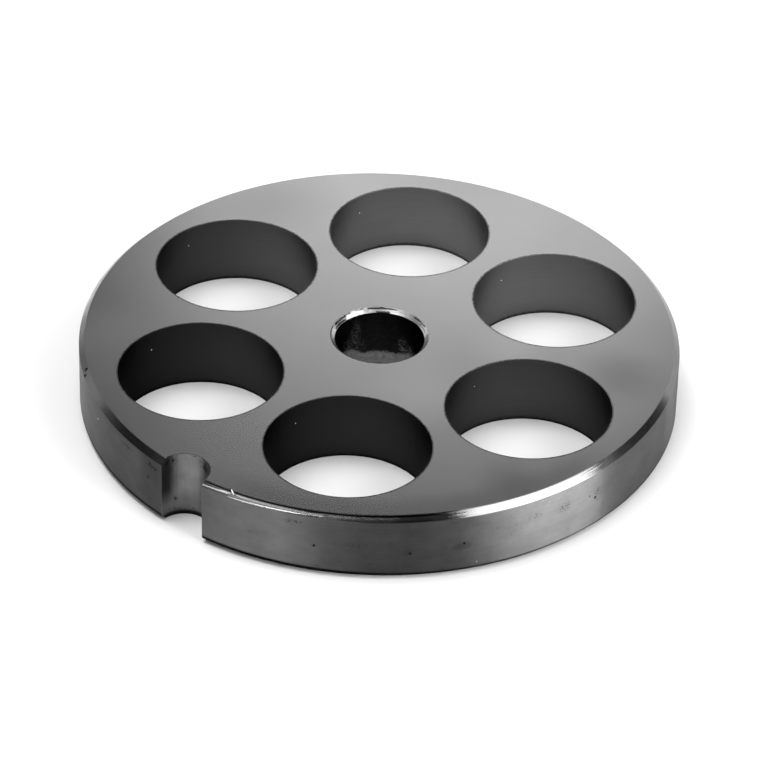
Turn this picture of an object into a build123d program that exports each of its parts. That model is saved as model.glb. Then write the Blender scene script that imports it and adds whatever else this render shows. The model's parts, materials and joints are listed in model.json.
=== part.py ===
from build123d import *
import math
import os

# A perforated plate for a meat grinder: one steel disc, turned, drilled, notched and ground flat
# on both faces, so that it can be turned over when one face is worn.
# Millimetres. The origin is on the plate's axis, in its lower face, and +Z is up the axis.
# The locating notch is at -Y.

# The disc
plate_diameter = 70.0
plate_thickness = 8.5
rim_chamfer = 0.65  # leg of the 45 degree chamfer at both ends of the turned rim

# The bore, which turns on the stud at the end of the feed screw
bore_diameter = 10.5
bore_chamfer = 0.5  # leg of the 45 degree countersink at both ends of the bore

# The meat holes, in one ring
meat_hole_diameter = 19.0
rim_web = 3.5  # least metal between a meat hole and the rim
hole_web = 3.0  # least metal between one meat hole and the next

# The locating notch, which the peg in the grinder's head keeps from turning
notch_width = 6.0
notch_depth = 3.5  # from the rim to the notch's round end
notch_direction = -90.0  # degrees about the axis, from +X

# Worked out from the sizes above
plate_radius = plate_diameter / 2
bore_radius = bore_diameter / 2
meat_hole_radius = meat_hole_diameter / 2
notch_radius = notch_width / 2
hole_ring_radius = plate_radius - rim_web - meat_hole_radius
notch_centre_radius = plate_radius - notch_depth + notch_radius


def meat_hole_count():
    """As many holes as the ring takes with a full web between each two."""
    half_pitch = math.asin((meat_hole_radius + hole_web / 2) / hole_ring_radius)
    rounding = 1e-6
    return math.floor(math.pi / half_pitch + rounding)


def turned_disc():
    """The blank: a disc with a chamfered rim and a countersunk bore, turned as one profile."""
    half_section = [
        (bore_radius + bore_chamfer, 0),
        (plate_radius - rim_chamfer, 0),
        (plate_radius, rim_chamfer),
        (plate_radius, plate_thickness - rim_chamfer),
        (plate_radius - rim_chamfer, plate_thickness),
        (bore_radius + bore_chamfer, plate_thickness),
        (bore_radius, plate_thickness - bore_chamfer),
        (bore_radius, bore_chamfer),
    ]
    with BuildPart() as disc:
        with BuildSketch(Plane.XZ):
            with BuildLine():
                Polyline(*half_section, close=True)
            make_face()
        revolve(axis=Axis.Z)
    return disc.part


def meat_holes():
    """The ring of straight holes. Their sharp edges cut, so they have no chamfer."""
    count = meat_hole_count()
    first_hole = notch_direction + 180 / count
    with BuildPart() as drills:
        with BuildSketch():
            with PolarLocations(hole_ring_radius, count, start_angle=first_hole):
                Circle(meat_hole_radius)
        extrude(amount=plate_thickness)
    return drills.part


def locating_notch():
    """A round-ended slot, cut in from the rim through both chamfers, midway between two meat holes."""
    mouth_radius = plate_radius + notch_radius
    with BuildPart() as cutter:
        with BuildSketch(Plane.XY.rotated((0, 0, notch_direction))):
            with Locations((notch_centre_radius, 0)):
                Circle(notch_radius)
            with Locations(((notch_centre_radius + mouth_radius) / 2, 0)):
                Rectangle(mouth_radius - notch_centre_radius, notch_width)
        extrude(amount=plate_thickness)
    return cutter.part


def grinder_plate():
    return turned_disc() - meat_holes() - locating_notch()


os.makedirs("parts", exist_ok=True)
export_step(grinder_plate(), "parts/grinder_plate.step")
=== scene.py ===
import bmesh
import bpy
import json
import math
from mathutils import Matrix, Vector


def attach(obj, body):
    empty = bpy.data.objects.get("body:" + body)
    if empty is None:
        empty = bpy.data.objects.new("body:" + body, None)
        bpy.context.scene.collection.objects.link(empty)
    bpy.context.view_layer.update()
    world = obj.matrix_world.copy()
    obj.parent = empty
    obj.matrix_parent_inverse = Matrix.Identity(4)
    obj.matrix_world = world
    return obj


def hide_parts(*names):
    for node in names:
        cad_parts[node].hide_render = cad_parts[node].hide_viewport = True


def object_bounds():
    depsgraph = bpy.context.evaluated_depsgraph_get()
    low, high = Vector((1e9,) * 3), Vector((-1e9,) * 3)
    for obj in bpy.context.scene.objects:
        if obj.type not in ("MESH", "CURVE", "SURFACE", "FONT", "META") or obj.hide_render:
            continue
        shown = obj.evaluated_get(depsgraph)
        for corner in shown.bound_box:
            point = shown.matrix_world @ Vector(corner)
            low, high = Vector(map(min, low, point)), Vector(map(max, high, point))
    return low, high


# A meat grinder plate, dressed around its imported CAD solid. Everything is in metres.

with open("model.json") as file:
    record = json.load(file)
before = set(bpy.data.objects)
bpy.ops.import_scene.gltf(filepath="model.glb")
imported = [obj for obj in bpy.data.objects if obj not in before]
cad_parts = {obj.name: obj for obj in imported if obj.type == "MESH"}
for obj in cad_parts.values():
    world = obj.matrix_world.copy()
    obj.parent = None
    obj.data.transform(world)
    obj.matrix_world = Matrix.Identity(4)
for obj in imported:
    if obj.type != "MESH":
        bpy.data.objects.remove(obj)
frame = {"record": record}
cadLow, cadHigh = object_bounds()
mm = 0.001
print("frame: the packed plate is loaded")


# helpers for node trees
def feed(tree, socket, value):
    if isinstance(value, Field):
        value = value.socket
    if isinstance(value, bpy.types.NodeSocket):
        tree.links.new(value, socket)
    else:
        socket.default_value = value


def addNode(tree, kind, inputs=None, **settings):
    made = tree.nodes.new(kind)
    for name, value in settings.items():
        setattr(made, name, value)
    for name, value in (inputs or {}).items():
        feed(tree, made.inputs[name], value)
    return made


class Field:
    # a number in a node tree, so that sums can be written as sums
    def __init__(self, tree, socket):
        self.tree = tree
        self.socket = socket

    def maths(self, operation, *others, clamp=False):
        made = self.tree.nodes.new("ShaderNodeMath")
        made.operation = operation
        made.use_clamp = clamp
        for socket, value in zip(made.inputs, (self, *others)):
            feed(self.tree, socket, value)
        return Field(self.tree, made.outputs[0])

    def __add__(self, other):
        return self.maths("ADD", other)

    def __sub__(self, other):
        return self.maths("SUBTRACT", other)

    def __mul__(self, other):
        return self.maths("MULTIPLY", other)

    def __truediv__(self, other):
        return self.maths("DIVIDE", other)

    def clamped(self):
        return self.maths("ADD", 0.0, clamp=True)

    def above(self, limit):
        return self.maths("GREATER_THAN", limit)

    def below(self, limit):
        return self.maths("LESS_THAN", limit)

    def ramp(self, start, end, low=0.0, high=1.0):
        made = addNode(self.tree, "ShaderNodeMapRange", interpolation_type="SMOOTHSTEP")
        for socket, value in zip(made.inputs, (self, start, end, low, high)):
            feed(self.tree, socket, value)
        return Field(self.tree, made.outputs[0])

    def between(self, start, end, soft):
        return self.ramp(start - soft, start + soft) * self.ramp(end - soft, end + soft, 1.0, 0.0)

    def dimmed(self, where, shade):
        # shade times as bright where the mask is 1
        return self * (where * (shade - 1) + 1)


def parts(tree, vector):
    made = addNode(tree, "ShaderNodeSeparateXYZ", {"Vector": vector})
    return [Field(tree, socket) for socket in made.outputs]


def joined(tree, x, y, z):
    return addNode(tree, "ShaderNodeCombineXYZ", {"X": x, "Y": y, "Z": z}).outputs[0]


def noise(tree, vector, detail=2.0, roughness=0.5):
    made = addNode(tree, "ShaderNodeTexNoise", {
        "Vector": vector, "Scale": 1.0, "Detail": detail, "Roughness": roughness})
    return Field(tree, made.outputs[0])


def pattern(tree, x, y, z, texture):
    # texture: how finely it varies across the plate and up it, in each metre, then detail and roughness
    flat, tall, detail, roughness = texture
    return noise(tree, joined(tree, x * flat, y * flat, z * tall), detail, roughness)


def reachOf(x, y):
    return (x * x + y * y).maths("SQRT")


def degreesOf(x, y):
    return y.maths("ARCTAN2", x) * (180 / math.pi)


def turnOf(x, y):
    # degrees from 0 to 360
    return (degreesOf(x, y) + 360).maths("MODULO", 360.0)


spotFade = (0.2, 1.1)       # where a spot begins and ends to fade, as a share of its half width


def smudgedAndShaded(grey, angle, height, ragged, marks):
    # marks: degrees, height, half width in degrees, half height, and the grey in the middle
    for turn, level, spread, tall, shade in marks:
        away = reachOf((angle - turn) / spread, (height - level) / tall) + ragged
        grey = grey * away.ramp(*spotFade, shade, 1.0)
    return grey


# sizes of the plate; angles are degrees about the axis, from +X
plate = dict(
    rimChamfer=0.65 * mm,     # leg of the chamfer at both ends of the rim
    boreChamfer=0.5 * mm,     # leg of the bore's countersinks
    holeDiameter=19.0 * mm,
    holeRing=44.0 * mm,
    holeCount=6,
    holeEdge=0.03 * mm,       # the worn edge of a meat hole
    notchWidth=6.0 * mm,
    notchDepth=3.5 * mm,
    rimSegments=720,
    boreSegments=256,
    holeSegments=192,
    notchSegments=96,
    rimRows=(4, 8, 24),       # rows of faces up the lower chamfer, the wall and the upper chamfer
    boreRows=(3, 8, 6),
    drillRows=(1, 6, 1),
    overshoot=1.0 * mm,       # how far the drills stand out of both faces
    mouthStretch=4.0,         # how far the notch's cutter runs out past the rim, in overshoots
    spareBend=30.0,           # a corner that bends its edge by fewer degrees is dropped
    seed=7.0,
    # marks on the upper chamfer
    toolMark=0.004 * mm,      # depth of the turning marks
    toolTexture=(1.5, 2.5, 0.0),        # round the plate and across the rows, then detail
    ridge=0.024 * mm,         # depth of the two ridges beside the notch
    ridgeProfile=(0.22, 0.3, 0.5),      # start, crest and end, across the chamfer from the face
    ridgeShare=0.8,           # depth of the first ridge, as a share of the second
    ridgeFrom=-84.8,
    ridgeTo=-62.0,
    ridgeSoft=1.0,
    secondRidgeProfile=(0.55, 0.66, 0.88),
    secondRidgeFrom=-79.5,
    drift=-0.08,              # the ridges begin nearer the face, and wander
    driftFrom=-80.0,
    driftTo=-72.0,
    wander=0.1,
    wanderTexture=(12.0, 0.0, 2.0),
    tear=0.03 * mm,           # depth of the torn metal where the ridges' cut ran out
    tearTexture=(90.0, 0.8, 2.0),
    tearFrom=-41.0,
    tearTo=-34.5,
    tearSoft=2.0,
    markMargin=0.06,          # the marks fade out this near to the chamfer's two edges
    # marks in the bore
    boreChatter=0.03 * mm,
    chatterTexture=(9.0, 0.9, 3.0),
    # pits in the metal: degrees, height and radius
    pits=((-62.5, 4.0 * mm, 0.17 * mm), (-44.9, 3.55 * mm, 0.15 * mm), (-34.9, 4.2 * mm, 0.16 * mm),
          (-6.5, 4.4 * mm, 0.16 * mm), (-8.0, 5.0 * mm, 0.1 * mm), (-128.1, 8.24 * mm, 0.25 * mm),
          (-126.8, 7.96 * mm, 0.19 * mm), (-98.7, 4.9 * mm, 0.1 * mm), (-104.9, 6.7 * mm, 0.1 * mm),
          (-98.0, 7.05 * mm, 0.14 * mm), (-96.7, 6.6 * mm, 0.12 * mm)),
    pitLumps=0.2 * mm,
    pitTexture=6000.0,
    # bright chips that stand out of the rim, given in the same way, and the one in each meat hole
    chips=((-32.3, 1.3 * mm, 0.07 * mm), (-117.3, 5.9 * mm, 0.1 * mm)),
    holeChip=(168.5, 6.1 * mm, 0.075 * mm),
    # a curl of metal on the upper chamfer, near its upper edge
    burrAt=-78.8,
    burrAcross=0.7,           # its place across the chamfer, from the rim
    burrSink=0.17 * mm,       # and how far it is below the upper face
    burrSize=(0.38 * mm, 0.09 * mm, 0.06 * mm),
    burrTilt=28.0,
    burrTurn=55.0,
)
thickness = cadHigh.z - cadLow.z
plateRadius = min(cadHigh.x, cadHigh.y)
holeRadius = plate["holeDiameter"] / 2
ringRadius = plate["holeRing"] / 2
notchRadius = plate["notchWidth"] / 2
notchCentre = plateRadius - plate["notchDepth"] + notchRadius
boreMount = next(mount for mount in frame["record"]["mounts"] if mount["name"] == "bore")
boreRadius = boreMount["dims"]["r_mm"] * mm


def bareSteel(name, look):
    made = bpy.data.materials.new(name)
    made.use_nodes = True
    tree = made.node_tree
    shader = tree.nodes["Principled BSDF"]
    shader.inputs["Metallic"].default_value = 1.0
    shader.inputs["Roughness"].default_value = look["roughness"]
    if "edgeTint" in look:
        shader.inputs["Specular Tint"].default_value = (*[look["edgeTint"]] * 3, 1.0)
    if "grooved" in look:
        # the marks of turning run round the axis and smear what the metal mirrors
        shader.inputs["Anisotropic"].default_value = look["grooved"]
        shader.inputs["Anisotropic Rotation"].default_value = 0.25
        around = addNode(tree, "ShaderNodeTangent", direction_type="RADIAL", axis="Z")
        tree.links.new(around.outputs[0], shader.inputs["Tangent"])
    place = tree.nodes.new("ShaderNodeTexCoord").outputs["Object"]
    return made, tree, shader, parts(tree, place)


def paint(tree, shader, grey):
    tree.links.new(grey.clamped().socket, shader.inputs["Base Color"])


def relief(tree, shader, height, depth):
    bump = addNode(tree, "ShaderNodeBump", {"Strength": 1.0, "Distance": depth, "Height": height})
    tree.links.new(bump.outputs[0], shader.inputs["Normal"])


def holeDistance(x, y):
    # from the axis of the nearest meat hole: the ring is folded onto one hole
    pitch = 360 / plate["holeCount"]
    angle = degreesOf(x, y) + 360 + pitch / 2
    folded = (angle.maths("MODULO", pitch) - pitch / 2) * (math.pi / 180)
    reach = reachOf(x, y)
    return reachOf(reach * folded.maths("COSINE") - ringRadius, reach * folded.maths("SINE"))


groundLook = dict(
    grey=0.5,
    roughness=0.18,
    clouds=0.10,              # how much the grey drifts across the face
    cloudTexture=(1 / (16 * mm), 1 / (16 * mm), 2.0, 0.5),
    grain=0.02,               # the arcs that the grinding wheel leaves
    grainWidth=0.3 * mm,
    grainRun=90.0,            # how fast they vary along their length, in each metre
    wheelAt=(-58 * mm, 66 * mm),
    edgeGrey=0.12,            # grime at the edges of the holes
    edgeWidth=0.26 * mm,
    edgeRagged=0.32 * mm,
    edgeTexture=(2600.0, 2600.0, 2.0, 0.6),
    # soft smudges, partly painted light and shade: x, y, radius and grey
    smudgesAndShade=((26.3 * mm, 12.0 * mm, 7.0 * mm, 0.76), (28.5 * mm, -12.0 * mm, 5.0 * mm, 0.8),
             (11.0 * mm, -6.5 * mm, 9.0 * mm, 1.16), (13.0 * mm, 8.0 * mm, 6.0 * mm, 1.14),
             (-21.0 * mm, -28.0 * mm, 8.0 * mm, 1.1), (-26.0 * mm, -22.0 * mm, 8.0 * mm, 1.25),
             (-14.0 * mm, 33.0 * mm, 14.0 * mm, 0.88), (-27.0 * mm, 13.0 * mm, 10.0 * mm, 0.84)),
    darkerStretch=(-80.0, -6.0, 8.0),          # a darker stretch along the rim: from, to and soft edge
    darkerBand=(5.0 * mm, 1.5 * mm),    # it begins and is full this far in from the rim
    darkerGrey=0.78,
)


def makeGroundFace():
    look = groundLook
    made, tree, shader, (x, y, z) = bareSteel("groundFace", look)
    wheelX, wheelY = look["wheelAt"]
    arc = reachOf(x - wheelX, y - wheelY)
    along = look["grainRun"]
    grain = noise(tree, joined(tree, arc / look["grainWidth"], x * along, y * along), 1.0) - 0.5
    clouds = pattern(tree, x, y, z, look["cloudTexture"]) - 0.5
    ragged = pattern(tree, x, y, z, look["edgeTexture"]) - 0.5
    edge = holeDistance(x, y) - holeRadius - plate["holeEdge"] + ragged * look["edgeRagged"]
    grimeAndShade = edge.ramp(0.0, look["edgeWidth"], look["edgeGrey"], 1.0)
    # smudges, partly painted light and shade
    for spotX, spotY, size, shade in look["smudgesAndShade"]:
        grimeAndShade = grimeAndShade * reachOf(x - spotX, y - spotY).ramp(0.0, size, shade, 1.0)
    bandStart, bandFull = look["darkerBand"]
    darkerStretch = reachOf(x, y).ramp(plateRadius - bandStart, plateRadius - bandFull)
    darkerStretch = darkerStretch * degreesOf(x, y).between(*look["darkerStretch"])
    grimeAndShade = grimeAndShade.dimmed(darkerStretch, look["darkerGrey"])
    grey = (clouds * look["clouds"] * 2 + grain * look["grain"] * 2 + 1) * look["grey"]
    paint(tree, shader, grey * grimeAndShade)
    return made


rimLook = dict(
    grey=0.15,
    roughness=0.52,
    grooved=1.0,
    lines=0.10,               # the fine lines of turning
    lineTexture=(60.0, 1 / (0.11 * mm), 1.0, 0.5),
    lineDepth=0.0006 * mm,
    patches=0.28,
    patchTexture=(300.0, 420.0, 3.0, 0.6),
    stainsAndPaintedShade=0.3,               # thin smears along the rim
    stainTexture=(700.0, 2200.0, 3.0, 0.65),
    stainCut=(0.6, 0.8),      # they come up between these values of their texture, as with every cut below
    # short bright scratches below the chamfer's painted highlight: from, to and soft edge
    scratches=(-21.0, -11.0, 1.5),
    scratchHeight=6.9 * mm,
    scratchBand=(0.9 * mm, 0.5 * mm),   # gone and full this far above and below
    scratchTexture=(900.0, 9000.0, 2.0, 0.7),
    scratchSlope=0.12,
    scratchCut=(0.6, 0.7),
    scratchGrey=1.6,
    # painted light and shade: from, to, soft edge, and grey at the lower and the upper edge
    paintedLightAndShade=((-58.0, -39.0, 7.0, 0.66, 0.76), (2.0, 19.0, 5.0, 1.28, 1.34), (20.0, 26.0, 2.0, 1.15, 1.5),
            (-33.0, -5.0, 3.0, 0.86, 1.26), (-39.0, -33.0, 3.0, 0.8, 0.95), (-71.0, -62.0, 3.0, 1.2, 1.2),
            (-100.5, -95.0, 1.5, 1.0, 0.55), (30.0, 90.0, 3.0, 0.6, 0.6), (-148.0, -131.0, 3.0, 0.78, 0.8)),
    # a painted highlight that comes up slowly and stops short
    highlightRise=(-26.0, -12.0),
    highlightEnd=(-5.1, -4.3),
    highlightGrey=1.13,
    # smudges: degrees, height, half width in degrees, half height and grey
    smudgesAndShade=((-62.5, 4.0 * mm, 1.2, 0.4 * mm, 0.85), (-35.0, 3.9 * mm, 2.0, 0.7 * mm, 0.75),
             (-45.2, 3.6 * mm, 1.0, 0.5 * mm, 0.85), (-98.6, 5.0 * mm, 0.9, 0.5 * mm, 0.75),
             (-97.3, 6.8 * mm, 2.2, 0.25 * mm, 0.4), (-105.4, 6.9 * mm, 2.4, 0.2 * mm, 0.5)),
    smudgeRagged=1.6,
    # specked stains, given in the same way
    rust=((-14.2, 5.3 * mm, 2.6, 0.7 * mm, 0.5), (-5.8, 4.9 * mm, 1.2, 1.5 * mm, 0.45),
          (-66.5, 6.9 * mm, 3.0, 0.45 * mm, 0.4), (-20.5, 5.6 * mm, 2.0, 0.6 * mm, 0.6),
          (-25.0, 4.6 * mm, 3.0, 1.0 * mm, 0.75), (-55.0, 4.6 * mm, 6.0, 0.5 * mm, 0.7)),
    speckTexture=(3800.0, 5320.0, 3.0, 0.6),
    speckCut=(0.5, 0.6),
    speckGap=0.9,             # how much the gaps between the specks thin a stain out
    # painted contact shadow along the lower edge: its height beside the notch, its height further on, and
    # where it changes
    footGrey=0.02,
    footTops=(0.93 * mm, 0.75 * mm),
    footTurn=(-75.0, -35.0),
    footFade=(0.1 * mm, 0.15 * mm),     # below and above that height
    # painted light and shade in a thin band at the top of the wall, below the chamfer: from, to and grey
    paintedEdgeLight=((-35.0, -7.0, 4.0), (-1.0, 17.0, 0.45), (-112.0, -93.0, 0.5), (-54.0, -38.0, 0.5)),
    paintedEdgeHeight=0.16 * mm,
    paintedEdgeSoft=1.5,
)


def makeTurnedRim():
    look = rimLook
    made, tree, shader, (x, y, z) = bareSteel("turnedRim", look)
    angle = degreesOf(x, y)
    lines = pattern(tree, x, y, z, look["lineTexture"]) - 0.5
    patches = pattern(tree, x, y, z, look["patchTexture"]) - 0.5
    stainsAndPaintedShade = pattern(tree, x, y, z, look["stainTexture"]).ramp(*look["stainCut"])
    grey = (lines * look["lines"] * 2 + patches * look["patches"] * 2 + 1) * look["grey"]
    slanted = z - x * look["scratchSlope"]
    scratches = pattern(tree, x, y, slanted, look["scratchTexture"]).ramp(*look["scratchCut"])
    scratches = scratches * angle.between(*look["scratches"])
    scratches = scratches * (z - look["scratchHeight"]).maths("ABSOLUTE").ramp(*look["scratchBand"])
    grey = grey.dimmed(scratches, look["scratchGrey"])
    climb = (z / thickness).clamped()
    # painted light and shade, stretch by stretch, lighter or darker up the wall
    for start, end, soft, low, high in look["paintedLightAndShade"]:
        grey = grey.dimmed(angle.between(start, end, soft), climb * (high - low) + low)
    # painted highlight on the rim
    highlight = angle.ramp(*look["highlightRise"]) * angle.ramp(*look["highlightEnd"], 1.0, 0.0)
    grey = grey.dimmed(highlight, look["highlightGrey"])
    grey = smudgedAndShaded(grey, angle, z, patches * look["smudgeRagged"], look["smudgesAndShade"])
    specks = pattern(tree, x, y, z, look["speckTexture"]).ramp(*look["speckCut"])
    grey = smudgedAndShaded(grey, angle, z, specks * -1 + look["speckGap"], look["rust"])
    # painted contact shadow along the lower edge
    footTop = angle.ramp(*look["footTurn"], *look["footTops"])
    below, above = look["footFade"]
    grey = grey * z.ramp(footTop - below, footTop + above, look["footGrey"], 1.0)
    wallTop = thickness - plate["rimChamfer"]
    # painted light and shade just below the chamfer
    edge = z.ramp(wallTop - look["paintedEdgeHeight"], wallTop)
    for start, end, edgeShade in look["paintedEdgeLight"]:
        grey = grey.dimmed(edge * angle.between(start, end, look["paintedEdgeSoft"]), edgeShade)
    paint(tree, shader, grey * (stainsAndPaintedShade * -look["stainsAndPaintedShade"] + 1))
    relief(tree, shader, lines, look["lineDepth"])
    return made


chamferLook = dict(
    grey=0.28,
    roughness=0.22,
    grooved=0.8,
    lines=0.12,
    lineTexture=(60.0, 9.0, 1.0, 0.5),  # the second number of these textures is for the chamfer's width
    lineSoft=0.04,            # soft edge of the painted dark line and the painted glints, across the chamfer
    # painted shade: a dark line along the chamfer's upper edge: from, to and soft edge
    paintedDarkLine=(-85.0, -39.0, 1.5),
    darkLineAt=0.23,              # its middle, across the chamfer from the face
    darkLineWidth=0.22,
    darkLineGrey=0.03,
    # painted shade: darker stretches of the chamfer: from, to, soft edge and grey
    stainsAndPaintedShade=((-109.0, -96.0, 4.0, 0.6), (-55.0, -39.5, 7.0, 0.7), (-150.0, -128.0, 4.0, 0.6),
            (-86.0, -60.0, 3.0, 0.5), (22.0, 110.0, 3.0, 0.55), (-190.0, -166.0, 4.0, 0.5),
            (140.0, 190.0, 4.0, 0.5), (-47.0, -41.0, 1.5, 0.6)),
    scuffs=(-200.0, -138.0, 4.0),       # a stretch with short scuffs: from, to and soft edge
    scuffTexture=(320.0, 4.0, 2.0, 0.6),
    scuffCut=(0.42, 0.55),
    scuffGrey=0.5,
    # painted highlights in thin lines: from and to, each with its place across, half width and grey
    paintedGlints=((-86.0, 0.76, -79.5, 0.56, 0.08, 6.5), (-81.0, 0.5, -61.0, 0.5, 0.05, 3.0),
            (-79.3, 0.98, -61.0, 0.7, 0.08, 6.0), (-168.0, 0.95, -146.0, 0.75, 0.08, 2.4),
            (-60.0, 0.55, -47.0, 0.5, 0.09, 1.8), (-58.0, 0.88, -38.0, 0.85, 0.13, 0.55)),
    glintSoft=0.7,
    breakTexture=(800.0, 2.0, 2.0, 0.6),
    breakCut=(0.3, 0.45),
    highlightFrom=-36.5,         # where the chamfer's highlight is painted: from and to
    highlightTo=-6.5,
    highlightSoft=0.5,
    highlight=1.15,
    fray=4.5,                 # degrees over which its streaks run out
    streakTexture=(110.0, 11.0, 2.0, 0.6),
    streakGrey=0.45,
    streakMargin=3.0,         # how far past both ends the painted dark streaks reach
    marginSoft=1.5,
    lipAcross=(0.02, 0.2),    # its upper edge is duller
    lipGrey=0.5,
)


def makeTurnedChamfer():
    look = chamferLook
    made, tree, shader, (x, y, z) = bareSteel("turnedChamfer", look)
    angle = degreesOf(x, y)
    across = ((z - thickness / 2).maths("ABSOLUTE") * -1 + thickness / 2) / plate["rimChamfer"]
    lines = pattern(tree, x, y, across, look["lineTexture"]) - 0.5
    # painted shade: a dark line near the chamfer's upper edge
    half = look["darkLineWidth"] / 2
    paintedDarkLine = across.between(look["darkLineAt"] - half, look["darkLineAt"] + half, look["lineSoft"])
    grey = (lines * look["lines"] * 2 + 1) * look["grey"]
    grey = grey.dimmed(paintedDarkLine * angle.between(*look["paintedDarkLine"]), look["darkLineGrey"])
    # painted shade over stretches of the chamfer
    for start, end, soft, paintedShade in look["stainsAndPaintedShade"]:
        grey = grey.dimmed(angle.between(start, end, soft), paintedShade)
    scuffed = pattern(tree, x, y, across, look["scuffTexture"]).ramp(*look["scuffCut"])
    grey = grey.dimmed(scuffed * angle.between(*look["scuffs"]), look["scuffGrey"])
    breaks = pattern(tree, x, y, across, look["breakTexture"]).ramp(*look["breakCut"])
    # painted highlights in thin lines along the chamfer
    for start, startAt, end, endAt, half, glintGain in look["paintedGlints"]:
        middle = (angle - start) * ((endAt - startAt) / (end - start)) + startAt
        line = across.between(middle - half, middle + half, look["lineSoft"])
        line = line * angle.between(start, end, look["glintSoft"])
        grey = grey.dimmed(line * breaks, glintGain)
    # painted highlight: streaks of several lengths run out at both of its ends, and past them the streaks
    # are painted darker
    streaks = pattern(tree, x, y, across, look["streakTexture"]) - 0.5
    slip = streaks * look["fray"] * 4
    start, end, margin = look["highlightFrom"], look["highlightTo"], look["streakMargin"]
    highlight = (angle + slip).between(start, end, look["highlightSoft"])
    ends = angle.between(start - margin, end + margin, look["marginSoft"])
    grey = grey.dimmed(ends, highlight * (look["highlight"] - look["streakGrey"]) + look["streakGrey"])
    grey = grey.dimmed(ends, across.ramp(*look["lipAcross"], look["lipGrey"], 1.0))
    paint(tree, shader, grey)
    return made


reamedLook = dict(
    grey=0.072,               # at the plate's axis
    lightTowards=(-0.275, 0.961),  # painted light and shade: the walls are painted lighter in this direction
    gain=66.0,                # how fast, for each metre
    rimFall=1350.0,           # and how much darker they are painted towards the rim
    roughness=0.42,
    edgeTint=0.48,            # how bright the metal is at a grazing angle
    lines=0.08,
    lineTexture=(150.0, 1 / (0.25 * mm), 2.0, 0.5),
    footGrey=0.3,             # painted shade along the lower edge, full and gone at these heights
    footFade=(0.175 * mm, 0.525 * mm),
    footRagged=0.4 * mm,
    footTexture=(2600.0, 2600.0, 2.0, 0.6),
)


def makeReamedHole():
    look = reamedLook
    made, tree, shader, (x, y, z) = bareSteel("reamedHole", look)
    towardsX, towardsY = look["lightTowards"]
    along = x * towardsX + y * towardsY
    # painted light and shade on the hole walls
    paintedLight = (along * look["gain"] - (x * x + y * y) * look["rimFall"]).maths("EXPONENT")
    lines = pattern(tree, x, y, z, look["lineTexture"]) - 0.5
    ragged = pattern(tree, x, y, z, look["footTexture"]) - 0.5
    # painted shade along the lower edge
    foot = (z + ragged * look["footRagged"]).ramp(*look["footFade"], look["footGrey"], 1.0)
    paint(tree, shader, paintedLight * foot * (lines * look["lines"] * 2 + 1) * look["grey"])
    return made


boreLook = dict(
    grey=0.012,
    roughness=0.4,
    edgeTint=0.0,
    mottle=0.9,
    mottleTexture=(1500.0, 2400.0, 3.0, 0.7),
    mottleDepth=0.012 * mm,
    footGrey=0.2,             # painted light: the lower end of the wall is lighter
    footFade=(2.65 * mm, 2.15 * mm),    # gone and full at these heights
    footRises=((146.0, 176.0, 1.2 * mm), (108.0, 78.0, 0.9 * mm)),      # from, to, and how much higher
    footRagged=1.6 * mm,
    # painted light in mottled patches above the foot: degrees, height, half width in degrees, half height
    # and grey
    lightPatches=((161.0, 5.2 * mm, 10.0, 2.7 * mm, 0.14), (168.0, 3.6 * mm, 26.0, 2.6 * mm, 0.09),
          (97.0, 3.9 * mm, 8.0, 1.3 * mm, 0.2), (84.0, 3.1 * mm, 16.0, 1.5 * mm, 0.22)),
    lightPatchFade=(1.2, 0.1),       # gone and full at these shares of the half width
    lightPatchTexture=(3000.0, 4500.0, 3.0, 0.75),
    lightPatchCut=(0.42, 0.66),
)


def makeDrilledBore():
    look = boreLook
    made, tree, shader, (x, y, z) = bareSteel("drilledBore", look)
    angle = turnOf(x, y)
    rough = pattern(tree, x, y, z, look["mottleTexture"]) - 0.5
    blotches = pattern(tree, x, y, z, look["lightPatchTexture"]).ramp(*look["lightPatchCut"])
    level = z + rough * look["footRagged"]
    for start, end, rise in look["footRises"]:
        level = level - angle.ramp(start, end) * rise
    # painted light at the lower end of the wall
    grey = level.ramp(*look["footFade"]) * (look["footGrey"] - look["grey"]) + look["grey"]
    # painted light in mottled patches above it
    for turn, height, spread, tall, patchLight in look["lightPatches"]:
        away = reachOf((angle - turn) / spread, (z - height) / tall)
        grey = grey.maths("MAXIMUM", away.ramp(*look["lightPatchFade"]) * blotches * patchLight)
    paint(tree, shader, grey * (rough * look["mottle"] * 2 + 1))
    relief(tree, shader, rough, look["mottleDepth"])
    return made


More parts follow.
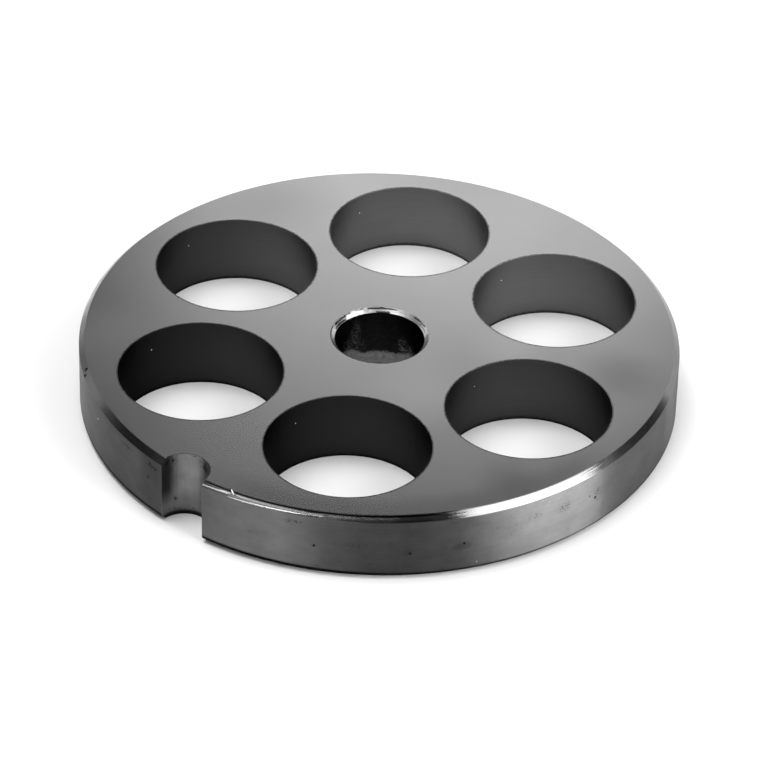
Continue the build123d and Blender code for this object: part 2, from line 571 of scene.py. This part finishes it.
countersinkLook = dict(
    grey=0.5,
    roughness=0.3,
    speckle=0.4,
    speckleTexture=(1500.0, 3000.0, 3.0, 0.7),
    ragged=0.5,               # how far the marks stray across the countersink
    # painted light and shade, in stretches that are lighter or darker: degrees from and to, where across
    # the countersink (0 at the bore, 1 at the face), half width and grey
    paintedLightAndShade=((84.0, 143.0, 0.25, 0.35, 2.0), (84.0, 112.0, 0.5, 0.6, 1.5), (44.0, 92.0, 0.5, 0.7, 2.0),
            (174.0, 200.0, 0.5, 0.7, 0.8), (149.0, 174.0, 0.85, 0.3, 0.55)),
    shadeEdges=(12.0, 4.0, 0.12),       # stray in degrees, soft edge in degrees, and soft edge across
    # darker places, given in the same way, but with their own grey: partly torn metal, partly painted shade
    # over highlights
    tearsAndShade=((108.0, 143.0, 0.75, 0.1, 0.03), (116.0, 134.0, 0.1, 0.2, 0.06), (142.0, 150.0, 0.5, 0.7, 0.3),
           (58.0, 84.0, 0.75, 0.1, 0.08), (50.0, 70.0, 0.35, 0.08, 0.2), (174.0, 197.0, 0.7, 0.1, 0.02),
           (178.0, 202.0, 0.25, 0.12, 0.03), (166.0, 178.0, 0.85, 0.1, 0.1),
           (200.0, 258.0, 0.9, 0.16, 0.02), (2.0, 30.0, 0.9, 0.16, 0.02), (150.0, 170.0, 0.15, 0.12, 0.3),
           (150.0, 160.0, 0.9, 0.1, 0.1), (92.0, 104.0, 0.55, 0.06, 0.15)),
    tearEdges=(6.0, 1.0, 0.04),
)


def makeBoreCountersink():
    look = countersinkLook
    made, tree, shader, (x, y, z) = bareSteel("boreCountersink", look)
    angle = turnOf(x, y)
    ragged = pattern(tree, x, y, z, look["speckleTexture"]) - 0.5
    across = (reachOf(x, y) - boreRadius) / plate["boreChamfer"] + ragged * look["ragged"]
    grey = (ragged * look["speckle"] * 2 + 1) * look["grey"]

    def patchAt(edges, start, end, middle, half):
        stray, turnSoft, acrossSoft = edges
        turned = (angle + ragged * stray).between(start, end, turnSoft)
        return turned * across.between(middle - half, middle + half, acrossSoft)

    # painted light and shade
    for *where, shade in look["paintedLightAndShade"]:
        grey = grey.dimmed(patchAt(look["shadeEdges"], *where), shade)
    # torn metal, and painted shade over highlights
    for *where, tear in look["tearsAndShade"]:
        grey = grey.dimmed(patchAt(look["tearEdges"], *where), tear / look["grey"])
    paint(tree, shader, grey)
    return made


notchLook = dict(
    grey=0.166,
    roughness=0.4,
    lines=0.16,
    lineTexture=(5200.0, 130.0, 2.0, 0.5),
    lineDepth=0.002 * mm,
    mottle=0.3,
    mottleTexture=(700.0, 700.0, 3.0, 0.5),
    footGrey=0.06,            # painted shade along the lower edge, full and gone at these heights
    footFade=(0.36 * mm, 0.84 * mm),
    # degrees about the notch's own centre: 90 is its round end, and 0 and 180 are its flanks
    stray=12.0,               # how far the marks stray
    darkFlank=(152.0, 166.0),           # painted shade: the flank nearer -X is darker, above its lower end
    darkHeights=(1.6 * mm, 4.2 * mm),
    darkGrey=0.34,
    # painted shade: the other flank is a little darker too
    otherFlank=(105.0, 70.0),
    otherGrey=0.75,
    # specked stains: degrees, height, half width in degrees, half height and grey
    marks=((151.0, 2.3 * mm, 10.0, 0.6 * mm, 0.2), (113.5, 3.0 * mm, 5.0, 0.3 * mm, 0.2),
           (82.0, 7.4 * mm, 20.0, 1.2 * mm, 0.3), (160.0, 7.8 * mm, 24.0, 0.7 * mm, 0.25),
           (110.0, 8.2 * mm, 10.0, 0.3 * mm, 0.2), (130.0, 0.9 * mm, 60.0, 0.45 * mm, 0.6)),
    speckTexture=(3200.0, 3200.0, 3.0, 0.6),
    speckCut=(0.48, 0.6),
    speckGap=0.9,             # how much the gaps between the specks thin a stain out
    # painted shade in small hollows, given in the same way
    hollowShade=((148.5, 2.25 * mm, 2.6, 0.14 * mm, 0.05), (76.0, 7.3 * mm, 9.0, 0.9 * mm, 0.35)),
)


def makeMilledNotch():
    look = notchLook
    made, tree, shader, (x, y, z) = bareSteel("milledNotch", look)
    lines = pattern(tree, x, y, z, look["lineTexture"]) - 0.5
    patches = pattern(tree, x, y, z, look["mottleTexture"]) - 0.5
    grey = (lines * look["lines"] * 2 + patches * look["mottle"] * 2 + 1) * look["grey"]
    # painted shade along the lower edge
    grey = grey * z.ramp(*look["footFade"], look["footGrey"], 1.0)
    # from -90 to 270, so that it doesn't jump within the notch
    around = (degreesOf(x, y + notchCentre) + 450).maths("MODULO", 360.0) - 90 + patches * look["stray"]
    # painted shade on the notch's flanks
    dark = around.ramp(*look["darkFlank"]) * z.ramp(*look["darkHeights"])
    grey = grey.dimmed(dark, look["darkGrey"]) * around.ramp(*look["otherFlank"], 1.0, look["otherGrey"])
    specks = pattern(tree, x, y, z, look["speckTexture"]).ramp(*look["speckCut"])
    grey = smudgedAndShaded(grey, around, z, specks * -1 + look["speckGap"], look["marks"])
    # painted shade in small hollows
    grey = smudgedAndShaded(grey, around, z, patches, look["hollowShade"])
    paint(tree, shader, grey)
    relief(tree, shader, lines, look["lineDepth"])
    return made


# plain speckled finishes: the speckle is added to the grey
# painted contact shadow: the lower chamfer is nearly black
shadedChamferLook = dict(grey=0.0, roughness=0.6, edgeTint=0.0, speckle=0.04, texture=(900.0, 900.0, 2.0, 0.5))
pitLook = dict(grey=0.0, roughness=0.6, speckle=0.04, texture=(4000.0, 4000.0, 2.0, 0.5))
chipLook = dict(grey=0.75, roughness=0.3, speckle=0.2, texture=(3000.0, 3000.0, 2.0, 0.5))


def makeSpeckled(name, look):
    made, tree, shader, (x, y, z) = bareSteel(name, look)
    paint(tree, shader, pattern(tree, x, y, z, look["texture"]) * look["speckle"] + look["grey"])
    return made


finish = dict(
    groundFace=makeGroundFace(),
    turnedRim=makeTurnedRim(),
    turnedChamfer=makeTurnedChamfer(),
    reamedHole=makeReamedHole(),
    drilledBore=makeDrilledBore(),
    boreCountersink=makeBoreCountersink(),
    milledNotch=makeMilledNotch(),
    shadedLowerChamfer=makeSpeckled("shadedLowerChamfer", shadedChamferLook),
    openPit=makeSpeckled("openPit", pitLook),
    brightChip=makeSpeckled("brightChip", chipLook),
)
print("finishes:", ", ".join(finish))


def spool(tree, around, rows, radius, faceRadius, leg, thick, overshoot=None, marks=None):
    # a turned solid: faceRadius at both faces, radius between them, reached along a sloping leg;
    # rows are those of its lower leg, wall and upper leg
    lowerRows, wallRows, upperRows = rows
    overRows = 0 if overshoot is None else 1
    count = sum(rows) + 2 * overRows
    blank = addNode(tree, "GeometryNodeMeshCylinder", {
        "Vertices": around, "Side Segments": count, "Fill Segments": 1,
        "Radius": 1.0, "Depth": float(count)})
    x, y, z = parts(tree, tree.nodes.new("GeometryNodeInputPosition").outputs[0])
    row = z + count / 2
    lower = ((row - overRows) / lowerRows).clamped()
    wall = ((row - overRows - lowerRows) / wallRows).clamped()
    upper = ((row - overRows - lowerRows - wallRows) / upperRows).clamped()
    height = leg * (lower + upper) + (thick - leg * 2) * wall
    if overRows:
        height = height + overshoot * (row.clamped() - 1) + overshoot * (row - (count - 1)).clamped()
    reach = faceRadius + (radius - faceRadius) * (lower - upper)
    if marks:
        reach = reach + marks(x, y, row, upper)
    moved = addNode(tree, "GeometryNodeSetPosition", {
        "Geometry": blank.outputs["Mesh"], "Position": joined(tree, x * reach, y * reach, height)})
    return moved.outputs[0]


plateInputs = dict(
    plateRadius=plateRadius, thickness=thickness, rimChamfer=plate["rimChamfer"], boreRadius=boreRadius,
    boreChamfer=plate["boreChamfer"], holeRadius=holeRadius, ringRadius=ringRadius,
    holeEdge=plate["holeEdge"], notchRadius=notchRadius, notchCentre=notchCentre,
    overshoot=plate["overshoot"], toolMark=plate["toolMark"], ridge=plate["ridge"], tear=plate["tear"],
    boreChatter=plate["boreChatter"], seed=plate["seed"],
)

# how the finishes are told apart
sorting = dict(
    faceUpright=0.98,         # a face's normal points up or down at least this much
    slopeUpright=0.3,         # a chamfer's normal this much, and a wall's less
    rimReach=1.1,             # chamfers of the rim's width in from the rim
    boreReach=1.3,            # countersinks out from the bore
    notchWide=1.03,           # half widths of the notch
    notchDeep=1.1,            # and radii in from its centre
    pitReach=0.4 * mm,        # a pit's small faces lie this near to its centre
    pitFace=0.004 * mm * mm,
    creaseAngle=24.0,         # edges that bend more stay sharp
)


def chamferMarks(tree, size, x, y, row, upper):
    # turning marks, two ridges and torn metal on the upper chamfer
    def rippled(texture):
        flat, tall, detail = texture
        return noise(tree, joined(tree, x * flat, y * flat, row * tall + size["seed"]), detail) - 0.5

    def sawTooth(place, start, crest, end):
        return place.ramp(start, crest) * place.ramp(crest, end, 1.0, 0.0)

    across = upper * -1 + 1
    angle = degreesOf(x, y)
    drift = angle.ramp(plate["driftFrom"], plate["driftTo"], plate["drift"], 0.0)
    drift = drift + rippled(plate["wanderTexture"]) * plate["wander"]
    first = sawTooth(across - drift, *plate["ridgeProfile"])
    first = first * angle.between(plate["ridgeFrom"], plate["ridgeTo"], plate["ridgeSoft"])
    second = sawTooth(across - drift, *plate["secondRidgeProfile"])
    second = second * angle.between(plate["secondRidgeFrom"], plate["ridgeTo"], plate["ridgeSoft"])
    depth = rippled(plate["toolTexture"]) * size["toolMark"] * 2
    depth = depth + (first * plate["ridgeShare"] + second) * size["ridge"]
    torn = rippled(plate["tearTexture"]) * size["tear"] * 2
    depth = depth + torn * angle.between(plate["tearFrom"], plate["tearTo"], plate["tearSoft"])
    margin = plate["markMargin"]
    return depth * upper.ramp(0.0, margin) * upper.ramp(1.0, 1.0 - margin)


def boreMarks(tree, size, x, y, row):
    flat, tall, detail = plate["chatterTexture"]
    marks = noise(tree, joined(tree, x * flat, y * flat, row * tall + size["seed"]), detail) - 0.5
    return marks * size["boreChatter"] * 2


def cutPlate(tree, source, size, ring):
    # the turned disc, less its bore, meat holes, notch and pits
    disc = spool(tree, plate["rimSegments"], plate["rimRows"], size["plateRadius"],
                 size["plateRadius"] - size["rimChamfer"], size["rimChamfer"], size["thickness"],
                 marks=lambda x, y, row, upper: chamferMarks(tree, size, x, y, row, upper))
    bore = spool(tree, plate["boreSegments"], plate["boreRows"], size["boreRadius"],
                 size["boreRadius"] + size["boreChamfer"], size["boreChamfer"], size["thickness"],
                 size["overshoot"], marks=lambda x, y, row, upper: boreMarks(tree, size, x, y, row))
    hole = spool(tree, plate["holeSegments"], plate["drillRows"], size["holeRadius"],
                 size["holeRadius"] + size["holeEdge"], size["holeEdge"], size["thickness"],
                 size["overshoot"])
    holes = addNode(tree, "GeometryNodeInstanceOnPoints", {"Points": ring, "Instance": hole})
    holes = addNode(tree, "GeometryNodeRealizeInstances", {"Geometry": holes.outputs[0]})

    drill = spool(tree, plate["notchSegments"], plate["drillRows"], size["notchRadius"],
                  size["notchRadius"] + size["holeEdge"], size["holeEdge"], size["thickness"],
                  size["overshoot"])
    drillY = parts(tree, tree.nodes.new("GeometryNodeInputPosition").outputs[0])[1]
    mouth = drillY.below(-1e-6) * size["overshoot"] * -plate["mouthStretch"]
    notch = addNode(tree, "GeometryNodeSetPosition", {
        "Geometry": drill, "Offset": joined(tree, 0.0, mouth - size["notchCentre"], 0.0)})

    # the pits are cut where the blank has its vertices
    ball = addNode(tree, "GeometryNodeMeshIcoSphere", {"Radius": 1.0, "Subdivisions": 3})
    pitSize = addNode(tree, "GeometryNodeInputNamedAttribute", {"Name": "pitSize"}, data_type="FLOAT")
    balls = addNode(tree, "GeometryNodeInstanceOnPoints", {
        "Points": source.outputs["Geometry"], "Instance": ball.outputs[0], "Scale": pitSize.outputs[0]})
    balls = addNode(tree, "GeometryNodeRealizeInstances", {"Geometry": balls.outputs[0]})
    place = tree.nodes.new("GeometryNodeInputPosition").outputs[0]
    lumps = addNode(tree, "ShaderNodeTexNoise", {
        "Vector": place, "Scale": plate["pitTexture"], "Detail": 1.0})
    lumps = addNode(tree, "ShaderNodeVectorMath", {
        0: lumps.outputs["Color"], 1: (-0.5, -0.5, -0.5)}, operation="ADD")
    lumps = addNode(tree, "ShaderNodeVectorMath", {
        0: lumps.outputs[0], "Scale": plate["pitLumps"]}, operation="SCALE")
    balls = addNode(tree, "GeometryNodeSetPosition", {
        "Geometry": balls.outputs[0], "Offset": lumps.outputs[0]})

    cut = addNode(tree, "GeometryNodeMeshBoolean", {"Mesh 1": disc}, operation="DIFFERENCE", solver="EXACT")
    for cutter in (bore, holes.outputs[0], notch.outputs[0], balls.outputs[0]):
        tree.links.new(cutter, cut.inputs["Mesh 2"])
    return cut.outputs["Mesh"]


def creased(tree, shape):
    # smooth, with sharp edges where it bends
    angle = Field(tree, tree.nodes.new("GeometryNodeInputMeshEdgeAngle").outputs[0])
    smooth = addNode(tree, "GeometryNodeSetShadeSmooth", {
        "Geometry": shape, "Shade Smooth": True}, domain="FACE")
    sharp = addNode(tree, "GeometryNodeSetShadeSmooth", {
        "Geometry": smooth.outputs[0], "Shade Smooth": False,
        "Selection": angle.above(math.radians(sorting["creaseAngle"]))}, domain="EDGE")
    return sharp.outputs[0]


def onRim(angle, height, reach):
    turn = math.radians(angle)
    return (reach * math.cos(turn), reach * math.sin(turn), height)


def looseMetal(tree, ring):
    # a bright chip sits in each meat hole, others on the rim, and a burr on the upper chamfer
    chip = addNode(tree, "GeometryNodeMeshIcoSphere", {"Radius": 1.0, "Subdivisions": 2})
    chip = addNode(tree, "GeometryNodeStoreNamedAttribute", {
        "Geometry": chip.outputs[0], "Name": "isSwarf", "Value": True}, data_type="BOOLEAN", domain="FACE")
    angle, height, radius = plate["holeChip"]
    spots = addNode(tree, "GeometryNodeSetPosition", {
        "Geometry": ring, "Offset": onRim(angle, height, holeRadius)})
    loose = [addNode(tree, "GeometryNodeInstanceOnPoints", {
        "Points": spots.outputs[0], "Instance": chip.outputs[0], "Scale": (radius,) * 3})]
    for angle, height, radius in plate["chips"]:
        loose.append(addNode(tree, "GeometryNodeTransform", {
            "Geometry": chip.outputs[0], "Scale": (radius,) * 3,
            "Translation": onRim(angle, height, plateRadius - radius / 2)}))
    burrReach = plateRadius - plate["rimChamfer"] * plate["burrAcross"]
    tilt = math.radians(plate["burrTilt"])
    turn = math.radians(plate["burrAt"] + plate["burrTurn"])
    loose.append(addNode(tree, "GeometryNodeTransform", {
        "Geometry": chip.outputs[0], "Scale": plate["burrSize"], "Rotation": (0.0, tilt, turn),
        "Translation": onRim(plate["burrAt"], thickness - plate["burrSink"], burrReach)}))
    return [item.outputs[0] for item in loose]


def finishChoices(tree, source, size):
    # which faces get which finish; a later choice wins over an earlier one
    x, y, z = parts(tree, tree.nodes.new("GeometryNodeInputPosition").outputs[0])
    normal = tree.nodes.new("GeometryNodeInputNormal").outputs["True Normal"]
    upright = parts(tree, normal)[2].maths("ABSOLUTE")
    reach = reachOf(x, y)
    isFace = upright.above(sorting["faceUpright"])
    isSlope = upright.above(sorting["slopeUpright"]) - isFace
    isWall = upright.below(sorting["slopeUpright"])
    nearRim = reach.above(size["plateRadius"] - size["rimChamfer"] * sorting["rimReach"])
    nearBore = reach.below(size["boreRadius"] + size["boreChamfer"] * sorting["boreReach"])
    inNotch = x.maths("ABSOLUTE").below(size["notchRadius"] * sorting["notchWide"])
    inNotch = inNotch * y.below((size["notchCentre"] - size["notchRadius"] * sorting["notchDeep"]) * -1)
    nearPit = addNode(tree, "GeometryNodeProximity", {
        0: source.outputs["Geometry"]}, target_element="POINTS")
    faceArea = Field(tree, tree.nodes.new("GeometryNodeInputMeshFaceArea").outputs[0])
    inPit = Field(tree, nearPit.outputs["Distance"]).below(sorting["pitReach"])
    inPit = inPit * faceArea.below(sorting["pitFace"])
    swarf = addNode(tree, "GeometryNodeInputNamedAttribute", {"Name": "isSwarf"}, data_type="BOOLEAN")
    return [(None, "reamedHole"), (isFace, "groundFace"), (isWall * nearRim, "turnedRim"),
            (isSlope * nearRim, "turnedChamfer"), (isWall * nearBore, "drilledBore"),
            (isSlope * nearBore, "boreCountersink"), (isWall * inNotch, "milledNotch"),
            # the lower chamfer: painted contact shadow
            (isSlope * nearRim * z.below(thickness / 2), "shadedLowerChamfer"), (inPit, "openPit"),
            (Field(tree, swarf.outputs[0]), "brightChip")]


def plateTree():
    tree = bpy.data.node_groups.new("plateTree", "GeometryNodeTree")
    tree.interface.new_socket(name="Geometry", in_out="INPUT", socket_type="NodeSocketGeometry")
    tree.interface.new_socket(name="Geometry", in_out="OUTPUT", socket_type="NodeSocketGeometry")
    for name in plateInputs:
        tree.interface.new_socket(name=name, in_out="INPUT", socket_type="NodeSocketFloat")
    source = tree.nodes.new("NodeGroupInput")
    size = {name: Field(tree, source.outputs[name]) for name in plateInputs}
    ring = addNode(tree, "GeometryNodeMeshCircle", {
        "Vertices": plate["holeCount"], "Radius": size["ringRadius"]})
    body = creased(tree, cutPlate(tree, source, size, ring.outputs[0]))
    whole = addNode(tree, "GeometryNodeJoinGeometry")
    for shape in (*looseMetal(tree, ring.outputs[0]), body):
        tree.links.new(shape, whole.inputs[0])
    shape = addNode(tree, "GeometryNodeRealizeInstances", {"Geometry": whole.outputs[0]}).outputs[0]
    for chosen, name in finishChoices(tree, source, size):
        painted = addNode(tree, "GeometryNodeSetMaterial", {"Geometry": shape, "Material": finish[name]})
        if chosen:
            feed(tree, painted.inputs["Selection"], chosen.above(0.5))
        shape = painted.outputs[0]
    sink = tree.nodes.new("NodeGroupOutput")
    tree.links.new(shape, sink.inputs[0])
    return tree


def pitPoints():
    # the blank: one vertex for each pit, on the wall or on the chamfer
    mesh = bpy.data.meshes.new("plateBlank")
    wallTop = thickness - plate["rimChamfer"]
    places = []
    for angle, height, radius in plate["pits"]:
        inset = max(0.0, height - wallTop)
        places.append(onRim(angle, height, plateRadius - inset))
    mesh.from_pydata(places, [], [])
    sizes = mesh.attributes.new("pitSize", "FLOAT", "POINT")
    for item, (angle, height, radius) in zip(sizes.data, plate["pits"]):
        item.value = radius
    return mesh


def dropSpareCorners(mesh):
    # the cuts leave a few corners halfway along a straight edge, which would make slivers
    work = bmesh.new()
    work.from_mesh(mesh)
    bend = math.radians(plate["spareBend"])
    spare = [corner for corner in work.verts
             if len(corner.link_edges) == 2 and corner.calc_edge_angle(0.0) < bend]
    bmesh.ops.dissolve_verts(work, verts=spare)
    work.to_mesh(mesh)
    work.free()
    print("spare corners dropped:", len(spare))


def makePlate():
    tree = plateTree()
    blank = bpy.data.objects.new("plateBlank", pitPoints())
    bpy.context.scene.collection.objects.link(blank)
    modifier = blank.modifiers.new("plate", "NODES")
    modifier.node_group = tree
    for item in tree.interface.items_tree:
        if item.in_out == "INPUT" and item.name in plateInputs:
            modifier[item.identifier] = float(plateInputs[item.name])
    graph = bpy.context.evaluated_depsgraph_get()
    shaped = blank.evaluated_get(graph)
    mesh = bpy.data.meshes.new_from_object(shaped, preserve_all_data_layers=True, depsgraph=graph)
    blank.modifiers.remove(modifier)
    bpy.data.objects.remove(blank)
    mesh.attributes.remove(mesh.attributes["isSwarf"])
    dropSpareCorners(mesh)
    made = bpy.data.objects.new("groundPlate", mesh)
    bpy.context.scene.collection.objects.link(made)
    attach(made, "root")
    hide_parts("grinder_plate")
    print("plate:", len(mesh.vertices), "vertices,", len(mesh.polygons), "faces")


makePlate()


# floor, lights and camera
stage = dict(floorWidth=8.0, floorGrey=0.9, floorRoughness=0.9, worldGrey=0.02)

softboxes = {
    # name: (azimuth, elevation, distance, width, height, radiance); azimuth 0 is the camera's side
    "strip": (178.8, 17.6, 2.0, 0.326, 1.323, 1.3),
    "rightHigh": (63.5, 45.0, 0.8, 0.59, 0.196, 5.4),
    "rightMid": (64.0, 30.5, 0.8, 0.62, 0.211, 1.5),
    "rightLow": (65.0, 15.5, 0.8, 0.56, 0.211, 15.0),
    "leftFront": (-45.0, 23.0, 0.8, 0.44, 0.429, 2.4),
    "leftBack": (-152.0, 28.0, 0.8, 0.2, 0.582, 3.8),
    "leftSide": (-130.0, 24.0, 0.8, 0.42, 0.5, 0.5),
    "sideRight": (114.0, 45.0, 0.8, 0.22, 0.196, 1.2),
    "backRight": (136.5, 12.5, 0.8, 0.34, 0.3, 1.5),
    "top": (-90.0, 78.0, 0.9, 0.5, 0.5, 3.9),
    "topBack": (-140.0, 66.0, 0.9, 0.4, 0.4, 1.7),
    "topLeft": (-105.0, 62.0, 0.9, 0.5, 0.35, 2.2),
    "topFront": (-45.0, 64.0, 0.9, 0.4, 0.35, 1.1),
    "topRight": (105.0, 62.0, 0.9, 0.35, 0.3, 2.2),
    "zenith": (0.0, 89.0, 0.9, 0.4, 0.4, 2.4),
}

camera = dict(
    azimuth=38.49,            # from -Y, about the plate's axis
    elevation=35.9,
    roll=1.4861,
    distance=0.525,           # from the centre of the upper face, along the view
    focalPixels=4505.2,
    axisPixel=(379.59, 334.97),
    picturePixels=765,
    sensor=36.0,
    clip=(0.01, 20.0),
)


def viewAxes(azimuth, elevation, roll=0.0):
    a, e, r = (math.radians(angle) for angle in (azimuth, elevation, roll))
    back = Vector((math.sin(a) * math.cos(e), -math.cos(a) * math.cos(e), math.sin(e)))
    right = Vector((math.cos(a), math.sin(a), 0))
    up = back.cross(right)
    return right * math.cos(r) + up * math.sin(r), up * math.cos(r) - right * math.sin(r), back


def placed(thing, right, up, back, at):
    turned = Matrix((right, up, back)).transposed().to_4x4()
    thing.matrix_world = Matrix.Translation(at) @ turned
    bpy.context.scene.collection.objects.link(thing)


def makeCamera():
    lens = bpy.data.cameras.new("camera")
    lens.sensor_width = camera["sensor"]
    lens.lens = camera["sensor"] * camera["focalPixels"] / camera["picturePixels"]
    lens.clip_start, lens.clip_end = camera["clip"]
    right, up, back = viewAxes(camera["azimuth"], camera["elevation"], camera["roll"])
    middle = camera["picturePixels"] / 2
    across = (camera["axisPixel"][0] - middle) / camera["focalPixels"]
    down = (camera["axisPixel"][1] - middle) / camera["focalPixels"]
    target = Vector((0, 0, cadHigh.z))
    at = target - (right * across - up * down - back) * camera["distance"]
    thing = bpy.data.objects.new("camera", lens)
    placed(thing, right, up, back, at)
    bpy.context.scene.camera = thing


def makeSoftbox(name, azimuth, elevation, distance, width, height, radiance):
    light = bpy.data.lights.new(name, "AREA")
    light.shape = "RECTANGLE"
    light.size, light.size_y = width, height
    light.energy = radiance * width * height * math.pi
    right, up, back = viewAxes(camera["azimuth"] + azimuth, elevation)
    placed(bpy.data.objects.new(name, light), right, up, back, back * distance)


def makeStage():
    half = stage["floorWidth"] / 2
    mesh = bpy.data.meshes.new("floor")
    corners = [(-half, -half, 0), (half, -half, 0), (half, half, 0), (-half, half, 0)]
    mesh.from_pydata(corners, [], [(0, 1, 2, 3)])
    paper = bpy.data.materials.new("paper")
    paper.use_nodes = True
    shader = paper.node_tree.nodes["Principled BSDF"]
    grey = stage["floorGrey"]
    shader.inputs["Base Color"].default_value = (grey, grey, grey, 1)
    shader.inputs["Roughness"].default_value = stage["floorRoughness"]
    shader.inputs["Specular IOR Level"].default_value = 0.0
    mesh.materials.append(paper)
    floor = bpy.data.objects.new("floor", mesh)
    floor.location.z = cadLow.z
    bpy.context.scene.collection.objects.link(floor)
    world = bpy.data.worlds.new("studio")
    world.use_nodes = True
    grey = stage["worldGrey"]
    world.node_tree.nodes["Background"].inputs["Color"].default_value = (grey, grey, grey, 1)
    bpy.context.scene.world = world
    bpy.context.scene.view_settings.view_transform = "Standard"


makeCamera()
makeStage()
for name, numbers in softboxes.items():
    makeSoftbox(name, *numbers)
print("studio: camera, floor and", len(softboxes), "softboxes")
